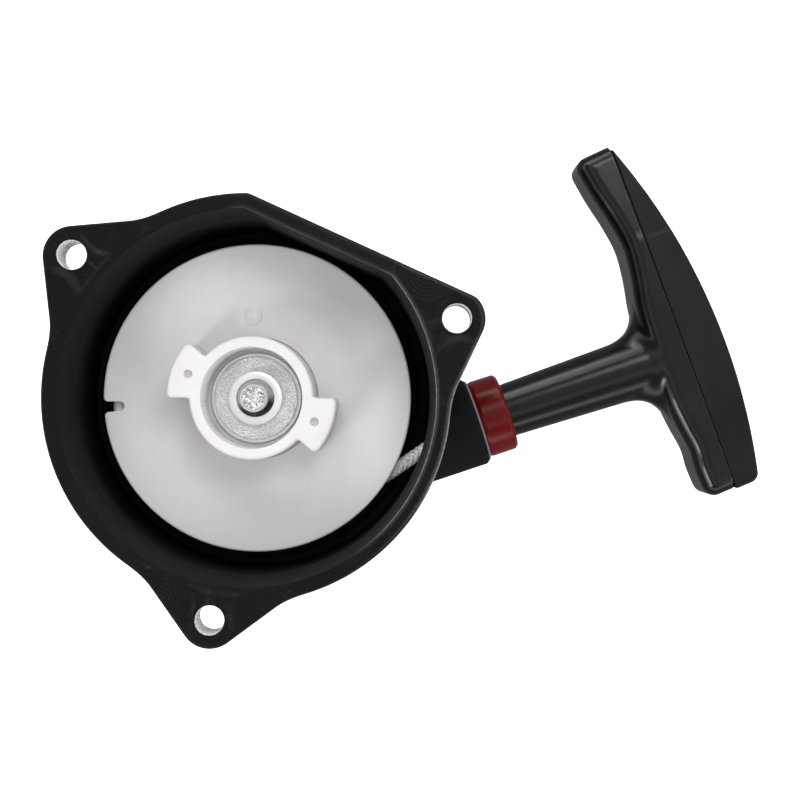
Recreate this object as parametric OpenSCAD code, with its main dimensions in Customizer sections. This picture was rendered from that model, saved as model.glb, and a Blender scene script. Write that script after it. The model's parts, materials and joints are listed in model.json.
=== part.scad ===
// Recoil starter for a small engine: a bolted bowl that holds a sprung rope reel,
// with a drive cam in its open mouth and a T-handle on a rope at its side.
// Millimetres. The origin is the centre of the three flange bolts, on the flange face.
// +Z points out of the open mouth, towards the engine. +X is the way the rope is pulled.

/* [Flange and bowl] */
// Outer radius of the round rim at the flange
rim_r = 46.8; // [46:0.1:48]
// Inner radius of the mouth at the flange face
mouth_r = 43.4; // [43:0.1:44]
// Inner radius of the bowl below the step
bowl_r = 42.4; // [42:0.1:42.6]
// Depth of the small step inside the mouth
step_depth = 10.5; // [8:0.5:12]
// Outer radius of the bowl wall below the flange
wall_r = 45.6; // [45:0.1:46]
// Depth of the reel chamber's floor below the flange face
floor_depth = 33; // [33:0.5:34]
// Thickness of the reel chamber's floor
floor_t = 2.5; // [2:0.1:3]
// Direction of the flat on the rim
flat_dir = 47; // [45:1:49]
// Distance from the axis to the outside of the flat
flat_out = 42.8; // [42.4:0.1:43]
// Distance from the axis to the inside of the flat
flat_in = 39.3; // [39:0.1:39.8]

/* [Bolt ears] */
// Bolt circle radius
bolt_circle_r = 51.5; // [51:0.1:52]
// Radius of each bolt hole, for an M6 bolt
bolt_hole_r = 3.3; // [3.2:0.05:3.5]
// Radius of each ear's rounded end
ear_r = 6.9; // [6.5:0.1:7]
// Thickness of the ears and the flange
ear_t = 8; // [6:0.5:9]
// Direction of the first ear
ear_dir = 2.2; // [0:0.1:4]
// Half angle of the foot of each ear on the rim
ear_foot = 21.2; // [18:0.1:22]

/* [Spring chamber] */
// Inner radius of the spring chamber
chamber_r = 27.3; // [27:0.1:27.6]
// Outer radius of the raised back over the spring chamber
back_r = 31.5; // [31.2:0.1:33]
// Depth of the spring chamber's floor
chamber_depth = 41.3; // [41:0.1:42]
// Depth of the back face
back_depth = 43.5; // [43.5:0.1:45]

/* [Centre post] */
// Radius of the post that the reel turns on
post_r = 6; // [6:0.1:6]
// Depth of the top of the post
post_top = 20.6; // [20.6:0.1:20.6]
// Radial running clearance of the reel and the cam on the post
run_gap = 0.08; // [0.05:0.01:0.1]

/* [Reel] */
// Radius of the reel's two flanges
reel_r = 37.9; // [37.5:0.1:37.9]
// Depth of the reel's top face
reel_top = 21.5; // [21.5:0.1:21.5]
// Thickness of each reel flange
reel_flange_t = 1.5; // [1.2:0.1:1.6]
// Radius of the drum that the rope is wound on
drum_r = 28.5; // [28.5:0.1:28.5]
// Height of the rope groove
groove_h = 7.2; // [7.1:0.1:7.4]
// Direction of the rope notch in the flanges
notch_dir = 164.9; // [160:0.1:170]

/* [Drive cam] */
// Outer radius of the cam ring
cam_r = 14.7; // [14.5:0.1:14.7]
// Inner radius of the cam ring
cam_well_r = 12.1; // [12:0.1:12.4]
// Depth of the top of the cam ring
cam_top = 9.6; // [9:0.1:11]
// Radius of the two driving ears
dog_r = 20.2; // [19:0.1:21]
// Direction of the start of the first driving ear
dog_dir = 120; // [110:1:130]
// Angle that each driving ear covers
dog_span = 41.5; // [38:0.5:44]

/* [Rope and its outlet] */
// Diameter of the rope
rope_d = 3.5; // [3.5:0.1:3.5]
// Depth of the rope's centre line
rope_depth = 25; // [25:0.1:25]
// Offset of the outlet from the reel's axis
outlet_y = -22.5; // [-23:0.1:-22]
// Outer radius of the outlet boss
boss_r = 11; // [10.5:0.05:11]
// Distance of the outlet boss's end from the reel's axis
boss_x = 50.1; // [49.5:0.1:51]
// Length of the guide's collar outside the boss
collar_len = 7.3; // [7:0.1:8]
// Radius of the collar next to the boss
collar_r = 9.7; // [9.5:0.1:10]

/* [Handle] */
// Radius of the handle's stem at the guide
stem_r = 6.4; // [6:0.05:6.5]
// Radius of the handle's stem where it meets the grip
stem_end_r = 7.5; // [7:0.05:7.7]
// Radius of the curved outer face of the grip
grip_back_r = 155; // [150:1:160]
// Thickness of the grip
grip_t = 17; // [16:0.5:18]

/* [Hidden] */
$fn = 96;

// Overlap that keeps cuts clean, and the gap between parts that move on each other
eps = 0.1;
gap = 0.3;

// Low wall round the reel, and the gap that the rope leaves it by
rope_wall_r = 39.5;
rope_wall_top = 27;
rope_gap_dir = -43;
rope_gap_w = 12;

// Ribs round the raised back
back_ribs = 12;
back_rib_t = 1.8;
back_rib_len = 8.5;

// Ears
ear_dirs = [ear_dir, ear_dir + 120, ear_dir + 240];
foot = rim_r * [cos(ear_foot), sin(ear_foot)];
ear_ring = bolt_circle_r - 0.4;
foot_to_ear = norm([ear_ring, 0] - foot);
side_dir = atan2(foot[1], foot[0] - ear_ring) - acos(ear_r / foot_to_ear);
shoulder = [ear_ring + ear_r * cos(side_dir), ear_r * sin(side_dir)];

// Brass insert in the post, and the screw in it
insert_r = 4;
insert_len = 12;
screw_r = 3;
screw_len = 11;
thread_gap = 0.05;
screw_flange_r = 6.6;
screw_flange_t = 1.5;
screw_dome_r = 4.45;
torx_r = 3.1;
screw_top = 14.1;
washer_t = 0.8;

// Wound spring, its steel case and the cover over it
case_r = 27;
case_t = 0.8;
cover_t = 0.8;
cover_r = 31.2;
cover_hole_r = 10;
spring_turns = 8;
spring_strip_t = 0.5;
spring_w = 5.8;
spring_inner_r = 9.2;
spring_outer_r = 25.4;
cover_screw_r = 1.2;
cover_screw_ring = 29.4;
cover_screw_head_r = 1.9;
cover_screw_bottom = 40;
cover_screw_dirs = [90, 210, 330];

// Reel
reel_bore_r = post_r + run_gap;
hub_r = 8.4;
groove_top = reel_top + reel_flange_t;
groove_floor = groove_top + groove_h;
reel_bottom = groove_floor + reel_flange_t;
hub_top = 22.7;
arbor_bottom = 40.2;
drum_wall = 2.2;
pocket_r = 15.05;
pocket_wall = 1.5;
pocket_depth = 29.5;
notch_w = 2.5;
notch_in = 33;
reel_ribs = 6;
rib_t = 1.6;
rib_bottom = reel_bottom - 0.6;
knot_dir = 210;
knot_ring = 22;

// Damper spring between the reel and the cam
damper_turns = 3.5;
damper_r = 11.6;
damper_wire_r = 0.6;
damper_pitch = 1.5;
damper_bottom = 28.7;

// Cam
cam_floor_top = 20.9;
cam_floor_bottom = 22.4;
dog_bottom = reel_top - gap;
gate_r = 1;
gate_ring = 16;

// Rope
rope_r = rope_d / 2;
coil_t = 2 * rope_d;
coil_gap = 0.06;
coil_r = drum_r + 3 * rope_r;
tangent_dir = -74.3;
tangent = coil_r * [cos(tangent_dir), sin(tangent_dir)];
throat_x = 44.8;
run_len = norm([throat_x, outlet_y] - tangent);
run_start = 17.5;

// Rope guide
guide_in = 42;
spigot_r = 7.5;
collar_end_r = 9.6;
guide_hole_r = 2.4;
socket_x = 49.6;
socket_r = 6.95;
collar_x = boss_x + collar_len;

// Handle
stem_x = boss_x;
grip_back_x = 112.7;
grip_back_y = -28;
grip_top = [101.2, 30.6];
grip_foot = [110, -56.8];
upper_inside = [
    [95.3, 30.4], [93.4, 29.6], [92.4, 28.2], [92.5, 26.4], [94.9, 15.2], [96.4, 8],
    [96.5, 4], [95.6, -4], [94.9, -10], [93.2, -13.4], [88.5, -15]
];
lower_inside = [
    [88.5, -30], [92.8, -30.7], [94.2, -32.4], [94.8, -35], [96.4, -45], [96.7, -49],
    [96.4, -52], [96.6, -55.5], [98, -57.8], [100.2, -58.5], [108.5, -58]
];
parting_x = 102.1;
parting_tilt = 1.8;
flare_x = 88;
flare_end_x = 93.5;
flare_r = 8.4;
knot_pocket_r = 5.2;
knot_pocket_x = 92.8;
knot_r = 3.7;
knot_washer_t = 1.2;
knot_face_x = knot_pocket_x + knot_washer_t + 0.05;
knot_x = knot_pocket_x + knot_washer_t + knot_r - 0.3;
handle_hole_r = 2.3;

back_steps = 24;

// Points along the grip's curved outer face, from its lower tip to its upper tip
function back_angle(p) = atan2(p[1] - grip_back_y, p[0] - grip_back_x + grip_back_r);
function back_arc(a0, a1) = [
    for (i = [0:back_steps])
        let (a = a0 + (a1 - a0) * i / back_steps)
        [grip_back_x - grip_back_r + grip_back_r * cos(a), grip_back_y + grip_back_r * sin(a)]
];

// A spiral of strip: inner edge out, then outer edge back
spring_steps = 20 * spring_turns;
function spring_r(i) = spring_inner_r + (spring_outer_r - spring_inner_r) * i / spring_steps;
function spring_edge(i, side) =
    (spring_r(i) + side * spring_strip_t / 2) * [cos(18 * i), sin(18 * i)];

// A tube of round section swept along a helix about +Z
coil_sides = 8;
function helix_ring(i, n, turns, r, wire, z0, rise) = [
    for (k = [0:coil_sides - 1])
        let (a = 360 * turns * i / n, b = 360 * k / coil_sides)
        [
            (r + wire * cos(b)) * cos(a),
            (r + wire * cos(b)) * sin(a),
            z0 + rise * i / n + wire * sin(b)
        ]
];

module helix(turns, r, wire, z0, rise, n) {
    points = [for (i = [0:n]) each helix_ring(i, n, turns, r, wire, z0, rise)];
    sides = [
        for (i = [0:n - 1], k = [0:coil_sides - 1])
            let (m = (k + 1) % coil_sides, a = i * coil_sides, b = a + coil_sides)
            [a + k, b + k, b + m, a + m]
    ];
    first = [for (k = [0:coil_sides - 1]) k];
    last = [for (k = [0:coil_sides - 1]) n * coil_sides + coil_sides - 1 - k];
    polyhedron(points, concat([first], sides, [last]), convexity = 10);
}

// A ring about +Z between two depths below the flange face
module ring(outer, inner, top, bottom) {
    difference() {
        translate([0, 0, -bottom])
            cylinder(r = outer, h = bottom - top);
        translate([0, 0, -bottom - eps])
            cylinder(r = inner, h = bottom - top + 2 * eps);
    }
}

// A cylinder along +X on the outlet's axis
module along_outlet(x0, x1, r0, r1) {
    translate([x0, outlet_y, -rope_depth])
        rotate([0, 90, 0])
            cylinder(r1 = r0, r2 = r1, h = x1 - x0);
}

// Everything on the inner side of a flat at a given distance
module inside_flat(distance) {
    rotate([0, 0, flat_dir])
        translate([distance - 200, -100, -100])
            cube([200, 200, 200]);
}

module flange_outline() {
    circle(r = rim_r);
    for (dir = ear_dirs)
        rotate(dir) {
            polygon([foot, shoulder, [shoulder[0], -shoulder[1]], [foot[0], -foot[1]]]);
            translate([ear_ring, 0])
                circle(r = ear_r);
        }
}

module bowl_outside() {
    intersection() {
        union() {
            translate([0, 0, -ear_t])
                linear_extrude(ear_t)
                    flange_outline();
            translate([0, 0, -floor_depth - floor_t])
                cylinder(r = wall_r, h = floor_depth);
        }
        inside_flat(flat_out);
    }
    translate([0, 0, -back_depth])
        cylinder(r = back_r, h = back_depth - floor_depth);
    for (i = [0:back_ribs - 1])
        rotate([0, 0, 15 + 360 * i / back_ribs])
            translate([back_r - 2, -back_rib_t / 2, -floor_depth - floor_t - 3])
                cube([back_rib_len, back_rib_t, 4]);
    along_outlet(34, boss_x - 1.2, boss_r, boss_r);
    along_outlet(boss_x - 1.2, boss_x, boss_r, boss_r - 1.05);
}

module bowl_inside() {
    intersection() {
        union() {
            translate([0, 0, -step_depth])
                cylinder(r1 = mouth_r - 0.5, r2 = mouth_r, h = step_depth + eps);
            translate([0, 0, -floor_depth])
                cylinder(r = bowl_r, h = floor_depth);
        }
        inside_flat(flat_in);
    }
}

// The low wall that keeps the rope on the reel, open where the rope leaves
module rope_wall() {
    difference() {
        intersection() {
            ring(rope_wall_r, reel_r + gap, rope_wall_top, floor_depth + 1);
            inside_flat(flat_in + 1);
        }
        rotate([0, 0, rope_gap_dir])
            translate([30, -rope_gap_w / 2, -floor_depth - 2])
                cube([14, rope_gap_w, 20]);
        along_outlet(20, 45, 4, 4);
    }
}

module housing() color([0.1, 0.1, 0.105]) {
    difference() {
        union() {
            difference() {
                bowl_outside();
                bowl_inside();
            }
            rope_wall();
        }
        for (dir = ear_dirs)
            rotate([0, 0, dir])
                translate([bolt_circle_r, 0, -ear_t - eps])
                    cylinder(r = bolt_hole_r, h = ear_t + 2 * eps);
        ring(chamber_r, post_r + 2, floor_depth - eps, chamber_depth);
        translate([0, 0, -floor_depth - cover_t])
            cylinder(r = cover_r + 0.2, h = cover_t + eps);
        translate([0, 0, -arbor_bottom - gap])
            cylinder(r = chamber_r, h = 10);
        for (dir = cover_screw_dirs)
            rotate([0, 0, dir])
                translate([cover_screw_ring, 0, -cover_screw_bottom - 1])
                    cylinder(r = cover_screw_r + thread_gap, h = 10);
        along_outlet(30, guide_in, 8.6, 4.6);
        along_outlet(guide_in - eps, boss_x + eps, spigot_r + 0.02, spigot_r + 0.02);
    }
    difference() {
        translate([0, 0, -chamber_depth])
            cylinder(r = post_r, h = chamber_depth - post_top);
        translate([0, 0, -post_top - insert_len])
            cylinder(r = insert_r, h = insert_len + eps);
    }
}

module post_insert() color("goldenrod")
    ring(insert_r, screw_r + thread_gap, post_top, post_top + insert_len);

module spring_case() color("silver") {
    ring(case_r, case_r - case_t, floor_depth + cover_t, chamber_depth);
    ring(case_r, post_r + 2 + gap, chamber_depth - case_t, chamber_depth);
}

module main_spring() color("slategray")
    translate([0, 0, -chamber_depth + case_t + 0.4])
        linear_extrude(spring_w)
            polygon(concat(
                [for (i = [0:spring_steps]) spring_edge(i, -1)],
                [for (i = [spring_steps:-1:0]) spring_edge(i, 1)]
            ));

module spring_cover() color("silver")
    difference() {
        ring(cover_r, cover_hole_r, floor_depth, floor_depth + cover_t);
        for (dir = cover_screw_dirs)
            rotate([0, 0, dir])
                translate([cover_screw_ring, 0, -floor_depth - 2])
                    cylinder(r = cover_screw_r + 0.1, h = 4);
    }

module cover_screws() color("dimgray")
    for (dir = cover_screw_dirs)
        rotate([0, 0, dir])
            translate([cover_screw_ring, 0, 0])
                cover_screw();

module cover_screw() {
    translate([0, 0, -cover_screw_bottom])
        cylinder(r = cover_screw_r, h = cover_screw_bottom - floor_depth);
    difference() {
        translate([0, 0, -floor_depth])
            cylinder(r = cover_screw_head_r, h = 0.8);
        translate([0, 0, -floor_depth + 0.4])
            cylinder(r = 0.8, h = 1, $fn = 6);
    }
}

module thrust_washer() color("gainsboro")
    ring(11, screw_r + thread_gap, post_top - washer_t, post_top);

module retaining_washer() color("lightgray")
    ring(10.2, screw_r + thread_gap, post_top - 2 * washer_t, post_top - washer_t);

module retaining_screw() color("silver") {
    seat = post_top - 2 * washer_t;
    difference() {
        union() {
            translate([0, 0, -seat - screw_len])
                cylinder(r = screw_r, h = screw_len + eps);
            translate([0, 0, -seat])
                cylinder(r = screw_flange_r, h = screw_flange_t);
            translate([0, 0, -seat + screw_flange_t - eps])
                cylinder(r1 = screw_dome_r + 0.4, r2 = screw_dome_r - 0.6, h = seat - screw_flange_t - screw_top + eps);
        }
        translate([0, 0, -screw_top - 2.4])
            linear_extrude(3)
                torx_outline();
    }
}

module torx_outline() {
    circle(r = torx_r * 0.78);
    for (dir = [0:60:300])
        rotate(dir)
            translate([torx_r * 0.74, 0])
                circle(r = torx_r * 0.26, $fn = 24);
}

module rope_guide() color([0.5, 0.08, 0.1])
    difference() {
        union() {
            along_outlet(guide_in, boss_x + eps, spigot_r, spigot_r);
            along_outlet(boss_x, boss_x + 1, collar_r - 0.3, collar_r);
            along_outlet(boss_x + 1, collar_x - 0.6, collar_r, collar_end_r);
            along_outlet(collar_x - 0.6, collar_x, collar_end_r, collar_end_r - 0.6);
        }
        along_outlet(guide_in - eps, guide_in + 3.4, 5, guide_hole_r);
        along_outlet(guide_in, collar_x, guide_hole_r, guide_hole_r);
        along_outlet(socket_x, collar_x + eps, socket_r, socket_r);
    }

// The rope between the reel and the guide's throat
module rope_run() color("white")
    translate([tangent[0], tangent[1], -rope_depth])
        rotate([0, 0, tangent_dir + 90])
            translate([run_start, 0, 0])
                rotate([0, 90, 0])
                    cylinder(r = rope_r, h = run_len - run_start - 0.6);

module reel() color([0.86, 0.86, 0.88]) {
    difference() {
        union() {
            ring(reel_r, pocket_r, reel_top, groove_top);
            ring(reel_r, drum_r - drum_wall, groove_floor, reel_bottom);
            ring(drum_r, drum_r - drum_wall, reel_top, reel_bottom);
            ring(pocket_r + pocket_wall, pocket_r, reel_top, reel_bottom);
            ring(pocket_r + eps, reel_bore_r, pocket_depth, pocket_depth + 1.5);
            ring(hub_r, reel_bore_r, hub_top, arbor_bottom);
            for (i = [0:reel_ribs - 1])
                rotate([0, 0, 360 * i / reel_ribs])
                    translate([pocket_r + 1, -rib_t / 2, -rib_bottom])
                        cube([drum_r - drum_wall - pocket_r - 0.5, rib_t, rib_bottom - groove_top + eps]);
        }
        rotate([0, 0, notch_dir]) {
            translate([notch_in + notch_w / 2, -notch_w / 2, -reel_bottom - 1])
                cube([10, notch_w, 14]);
            translate([notch_in + notch_w / 2, 0, -reel_bottom - 1])
                cylinder(r = notch_w / 2, h = 14);
        }
        rotate([0, 0, knot_dir])
            translate([knot_ring, 0, -rope_depth - 2])
                rotate([0, 90, 0])
                    cylinder(r = rope_r + 0.1, h = drum_r - knot_ring + 1);
    }
}

module rope_coil() color("white")
    rotate_extrude()
        translate([drum_r, -groove_top - groove_h / 2])
            polygon([
                [coil_gap, -rope_d],
                [coil_t - rope_r, -rope_d],
                [coil_t, -rope_r],
                [coil_t, rope_r],
                [coil_t - rope_r, rope_d],
                [coil_gap, rope_d]
            ]);

// The knot inside the reel, with the rope's short way in through the drum
module reel_knot() color("white")
    rotate([0, 0, knot_dir])
        translate([knot_ring, 0, -rope_depth - 2]) {
            rotate([0, 90, 0])
                cylinder(r = rope_r, h = drum_r - knot_ring - 0.1);
            sphere(r = 3.1, $fn = 32);
        }

module damper_spring() color("dimgray")
    helix(damper_turns, damper_r, damper_wire_r, -damper_bottom, damper_pitch * damper_turns, 16 * damper_turns);

// One driving ear of the cam: a sector of a ring
module dog() {
    intersection() {
        ring(dog_r, cam_r - 1, cam_top, dog_bottom);
        translate([0, 0, -30])
            linear_extrude(30)
                polygon([
                    [0, 0],
                    40 * [1, 0],
                    40 * [cos(dog_span / 2), sin(dog_span / 2)],
                    40 * [cos(dog_span), sin(dog_span)]
                ]);
    }
}

module cam_plate() color("white")
    difference() {
        union() {
            ring(cam_r, cam_well_r, cam_top, cam_floor_bottom);
            ring(cam_r - eps, post_r + run_gap, cam_floor_top, cam_floor_bottom);
            for (side = [0, 180])
                rotate([0, 0, dog_dir + side])
                    dog();
        }
        for (side = [0, 180])
            rotate([0, 0, dog_dir + dog_span / 2 + side])
                translate([gate_ring, 0, -cam_top - 6])
                    cylinder(r = gate_r, h = 7);
    }

// The rope from the guide's throat to the knot inside the handle
module rope_pull() color("white")
    along_outlet(throat_x + 0.6, knot_face_x, rope_r, rope_r);

// The knot, flat where the rope goes into it
module handle_knot() color("white")
    difference() {
        translate([knot_x, outlet_y, -rope_depth])
            sphere(r = knot_r, $fn = 40);
        along_outlet(knot_face_x - 5, knot_face_x, 5, 5);
    }

module knot_washer() color("silver")
    difference() {
        along_outlet(knot_pocket_x, knot_pocket_x + knot_washer_t, 4.9, 4.9);
        along_outlet(knot_pocket_x - 1, knot_pocket_x + 3, rope_r + 0.05, rope_r + 0.05);
    }

module grip_outline() {
    polygon(concat(
        back_arc(back_angle(grip_foot), back_angle(grip_top)),
        upper_inside,
        lower_inside
    ));
}

module grip_body() {
    translate([0, 0, -rope_depth - grip_t / 2])
        linear_extrude(grip_t)
            grip_outline();
}

// Everything on one side of the parting line between the two halves of the grip
module parting_side(x0, x1) {
    translate([parting_x, 0, 0])
        rotate([0, 0, parting_tilt])
            translate([x0, -100, -100])
                cube([x1 - x0, 200, 200]);
}

module handle_grip() color([0.14, 0.14, 0.15])
    difference() {
        union() {
            along_outlet(stem_x, flare_x, stem_r, stem_end_r);
            along_outlet(flare_x, flare_end_x, stem_end_r, flare_r);
            intersection() {
                grip_body();
                parting_side(-100, 0);
            }
        }
        along_outlet(stem_x - 1, knot_pocket_x + 1, handle_hole_r, handle_hole_r);
        along_outlet(knot_pocket_x - gap, grip_back_x, knot_pocket_r, knot_pocket_r);
    }

module handle_cap() color([0.12, 0.12, 0.125])
    intersection() {
        grip_body();
        parting_side(0, 50);
    }

housing();
post_insert();
spring_case();
main_spring();
spring_cover();
cover_screws();
thrust_washer();
retaining_washer();
retaining_screw();
rope_guide();
rope_run();
reel();
rope_coil();
reel_knot();
damper_spring();
cam_plate();
rope_pull();
handle_knot();
knot_washer();
handle_grip();
handle_cap();
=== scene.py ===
"""Looks of the recoil starter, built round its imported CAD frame.

Lengths in the code are millimetres and turn into metres where a mesh is made. The frame's origin is
the centre of the flange bolts on the flange face, +Z points out of the mouth, +X is the rope's pull.
"""
import json
from itertools import product
from math import acos, atan2, copysign, cos, degrees, hypot, pi, radians, sin, tan

import bmesh
import bpy
import numpy as np
from mathutils import Matrix, Vector


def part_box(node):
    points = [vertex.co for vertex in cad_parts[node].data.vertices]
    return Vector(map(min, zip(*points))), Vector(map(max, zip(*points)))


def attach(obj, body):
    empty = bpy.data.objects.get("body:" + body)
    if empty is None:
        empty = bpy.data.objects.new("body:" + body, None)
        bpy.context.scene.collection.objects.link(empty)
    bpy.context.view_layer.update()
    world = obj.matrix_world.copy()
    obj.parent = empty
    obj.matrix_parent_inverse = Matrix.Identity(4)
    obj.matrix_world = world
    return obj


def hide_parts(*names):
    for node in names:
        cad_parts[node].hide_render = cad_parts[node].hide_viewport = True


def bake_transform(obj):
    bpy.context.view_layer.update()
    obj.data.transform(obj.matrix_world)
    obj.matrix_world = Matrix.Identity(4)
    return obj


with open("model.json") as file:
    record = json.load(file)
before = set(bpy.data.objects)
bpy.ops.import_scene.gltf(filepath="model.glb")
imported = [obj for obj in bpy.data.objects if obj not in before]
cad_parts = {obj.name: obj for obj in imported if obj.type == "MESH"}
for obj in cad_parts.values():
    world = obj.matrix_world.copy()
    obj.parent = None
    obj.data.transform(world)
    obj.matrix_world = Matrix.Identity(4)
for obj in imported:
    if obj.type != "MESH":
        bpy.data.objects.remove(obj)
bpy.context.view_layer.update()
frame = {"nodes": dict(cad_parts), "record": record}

MM = 0.001


# --- sizes from the frame

def box_mm(node):
    """Lowest and highest corner of a CAD node in millimetres."""
    low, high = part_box(node)
    return np.array(low) / MM, np.array(high) / MM


reel_low, reel_high = box_mm("reel")
cam_low, cam_high = box_mm("cam_plate")
guide_low, guide_high = box_mm("rope_guide")
grip_low, grip_high = box_mm("handle_grip")
cap_low, cap_high = box_mm("handle_cap")
pull_low, pull_high = box_mm("rope_pull")
screw_low, screw_high = box_mm("retaining_screw")
washer_low, washer_high = box_mm("retaining_washer")
thrust_low, thrust_high = box_mm("thrust_washer")
coil_low, coil_high = box_mm("rope_coil")
bolts = next(m for m in frame["record"]["mounts"] if m["name"] == "flange_bolts")

BOLT_RING = bolts["dims"]["pcd_mm"] / 2
HOLE_R = bolts["dims"]["hole_r_mm"]
BACK_Z = box_mm("housing")[0][2]
OUTLET_Y = (pull_low[1] + pull_high[1]) / 2
OUTLET_Z = (pull_low[2] + pull_high[2]) / 2
ROPE_R = (pull_high[2] - pull_low[2]) / 2
REEL_R = reel_high[0]
REEL_TOP = reel_high[2]
WASHER_R = (washer_high[0] - washer_low[0]) / 2
THRUST_R = (thrust_high[0] - thrust_low[0]) / 2
STEM_X = grip_low[0]
COLLAR_X = guide_high[0]

# The bowl, as its CAD source has it
RIM_R = 46.8
WALL_R = 45.6
MOUTH_R = 43.4
STEP_R = 42.85
BOWL_R = 42.4
STEP_Z = -10.5
FLOOR_Z = -33.0
UNDER_Z = -35.5
BACK_R = 31.5
EAR_T = 8.0
EAR_R = 6.9
EAR_RING = BOLT_RING - 0.4
EAR_DIRS = (2.2, 122.2, 242.2)
EAR_SIDE = 45.7
BOLT_PLACES = [(BOLT_RING * cos(radians(d)), BOLT_RING * sin(radians(d)), 0) for d in EAR_DIRS]
FLAT_DIR = 47.0
FLAT_OUT = 42.8
FLAT_IN = 39.3
BOSS_R = 11.0
BOSS_X = 50.1

# The braid's pattern on the rope that is drawn out
BRAID_PITCH = 1.3
BRAID_STRANDS = 8


# --- mesh helpers

def angles(count):
    """Evenly spaced angles all the way round."""
    return np.linspace(0, 2 * pi, count, endpoint=False)


def in_scene(name, data):
    obj = bpy.data.objects.new(name, data)
    bpy.context.scene.collection.objects.link(obj)
    return obj


def mesh_object(name, points, faces):
    """A smooth mesh object from points in millimetres."""
    mesh = bpy.data.meshes.new(name)
    mesh.from_pydata((np.asarray(points, float) * MM).tolist(), [], [list(map(int, f)) for f in faces])
    mesh.validate()
    mesh.update()
    mesh.shade_smooth()
    return in_scene(name, mesh)


def grid_object(name, rings, closed=False):
    """A surface through closed rings of points, shaped (rings, points, 3), and which points it uses.
    A ring whose points are all at one place is a pole. closed joins the last ring to the first."""
    rings = np.asarray(rings, float)
    count, sides = rings.shape[:2]
    index = np.arange(count * sides).reshape(count, sides)
    for pole in (0, count - 1):
        if not closed and np.ptp(rings[pole], axis=0).max() < 1e-9:
            index[pole] = index[pole, 0]
    faces = []
    for i in range(count if closed else count - 1):
        a, b = index[i], index[(i + 1) % count]
        for k in range(sides):
            m = (k + 1) % sides
            unique = list(dict.fromkeys([a[k], a[m], b[m], b[k]]))
            if len(unique) > 2:
                faces.append(unique)
    used = np.unique(np.concatenate([np.array(f) for f in faces]))
    renumber = np.full(count * sides, -1)
    renumber[used] = np.arange(len(used))
    faces = [[renumber[v] for v in f] for f in faces]
    return mesh_object(name, rings.reshape(-1, 3)[used], faces), used


def rounded(profile, radii, steps=4, closed=False):
    """A profile with its corners rounded, each by its own radius."""
    profile = [np.array(p, float) for p in profile]
    count = len(profile)
    made = []
    for i, here in enumerate(profile):
        radius = radii[i]
        if radius <= 0 or (not closed and i in (0, count - 1)):
            made.append(here)
            continue
        u = profile[i - 1] - here
        v = profile[(i + 1) % count] - here
        reach = 0.49 * min(np.linalg.norm(u), np.linalg.norm(v))
        u, v = u / np.linalg.norm(u), v / np.linalg.norm(v)
        half = acos(max(-1.0, min(1.0, float(u @ v)))) / 2
        radius = min(radius, reach * tan(half))
        toward = (u + v) / np.linalg.norm(u + v)
        centre = here + toward * radius / sin(half)
        first = here + u * radius / tan(half) - centre
        last = here + v * radius / tan(half) - centre
        turn = pi - 2 * half
        for k in range(steps + 1):
            w = k / steps
            point = (sin((1 - w) * turn) * first + sin(w * turn) * last) / sin(turn)
            made.append(centre + point)
    return np.array(made)


def ring_at(theta, radius, height):
    """A ring of points about +Z."""
    return np.stack([radius * np.cos(theta), radius * np.sin(theta), height + 0 * theta], axis=1)


def outlet_ring(theta, x, radius):
    """A ring of points about the outlet's axis."""
    return np.stack([x + 0 * theta, OUTLET_Y + radius * np.cos(theta), OUTLET_Z + radius * np.sin(theta)], axis=1)


def lathe(name, profile, sides=128, closed=True, ring=ring_at):
    """A surface of revolution. profile has a pair for each ring, as the ring's function takes it."""
    theta = angles(sides)
    return grid_object(name, [ring(theta, *pair) for pair in profile], closed)[0]


def outward(obj):
    """Turns a closed mesh's faces outward."""
    work = bmesh.new()
    work.from_mesh(obj.data)
    bmesh.ops.recalc_face_normals(work, faces=work.faces)
    if work.calc_volume(signed=True) < 0:
        bmesh.ops.reverse_faces(work, faces=work.faces)
    work.to_mesh(obj.data)
    work.free()
    return obj


def apply_modifiers(obj):
    """Replaces a mesh with what its modifiers make of it."""
    graph = bpy.context.evaluated_depsgraph_get()
    made = bpy.data.meshes.new_from_object(obj.evaluated_get(graph))
    old = obj.data
    obj.modifiers.clear()
    obj.data = made
    bpy.data.meshes.remove(old)


def combine(obj, others, operation):
    """A union or difference with other meshes, which are used up."""
    outward(obj)
    for other in others:
        outward(other)
        step = obj.modifiers.new("combine", "BOOLEAN")
        step.operation = operation
        step.solver = "EXACT"
        step.object = other
        apply_modifiers(obj)
        bpy.data.objects.remove(other)


def crisp(obj, angle=32):
    """Smooth shading that keeps flat faces flat and hard edges hard."""
    obj.data.shade_smooth()
    obj.data.set_sharp_from_angle(angle=radians(angle))
    weighted = obj.modifiers.new("normals", "WEIGHTED_NORMAL")
    weighted.keep_sharp = True
    weighted.weight = 60


def place(obj, body, look, slot, *stands_for):
    """Gives a finished piece its look and its body, and hides the CAD nodes it stands for."""
    obj.data.materials.clear()
    obj.data.materials.append(LOOKS[look])
    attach(obj, body)
    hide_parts(*stands_for)


def smooth_max(a, b, k):
    """The larger of two values, with a fillet about k long where they meet."""
    h = np.maximum(k - np.abs(a - b), 0) / k
    return np.maximum(a, b) + h * h * k / 4


def smooth_min(a, b, k):
    return -smooth_max(-a, -b, k)


def round_max(a, b, r):
    """The larger of two distances, with a round of radius r where their surfaces meet."""
    past = np.hypot(np.maximum(a + r, 0), np.maximum(b + r, 0))
    return past + np.minimum(np.maximum(a, b) + r, 0) - r


def smooth_step(a, b, x):
    t = np.clip((x - a) / (b - a), 0, 1)
    return t * t * (3 - 2 * t)


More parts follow.
